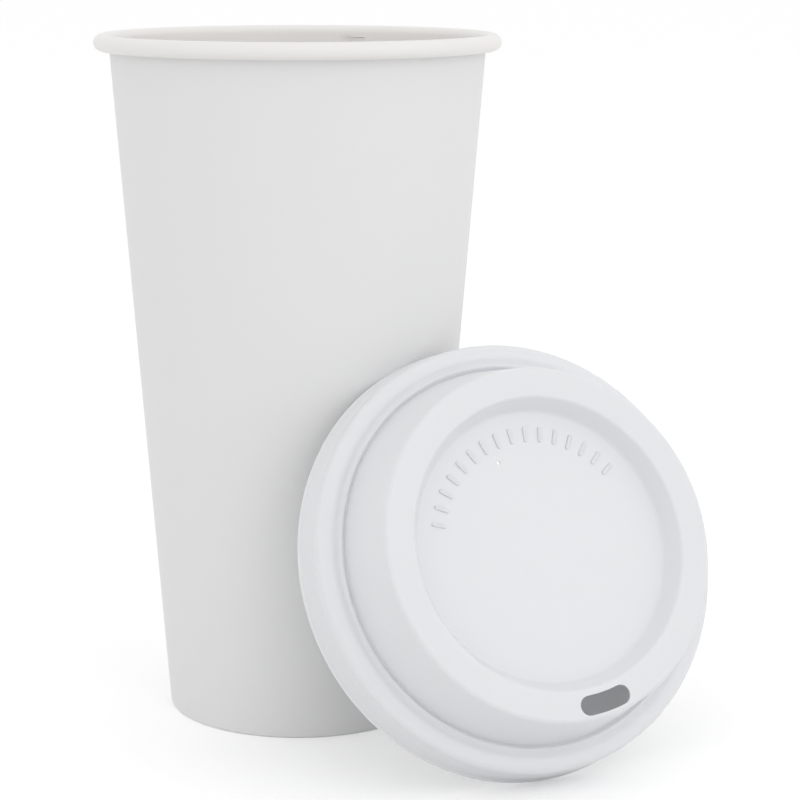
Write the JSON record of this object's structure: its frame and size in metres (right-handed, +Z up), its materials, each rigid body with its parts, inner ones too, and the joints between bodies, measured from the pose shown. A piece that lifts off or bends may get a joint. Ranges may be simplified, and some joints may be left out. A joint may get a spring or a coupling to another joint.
{
  "type": "paper coffee cup",
  "caption": "Tall paper cup for a hot takeaway drink, with a rolled rim and a recessed foot, and its domed plastic sip lid leaning on it",
  "frame": {"origin": "on the floor under the cup, at the centre of the cup's foot ring, on the cup's axis", "axes": "+Z up along the cup's axis; the lid stands on the +X side of the cup and its top faces -Y and up"},
  "size_m": [0.1153, 0.134, 0.152],
  "materials": {
    "wall_board": "coated white board",
    "floor_board": "coated white board",
    "lid_sheet": "satin"
  },
  "bodies": {
    "root": {"side_wall": "wall_board", "bottom_disc": "floor_board", "lid": "lid_sheet"}
  },
  "joints": []
}
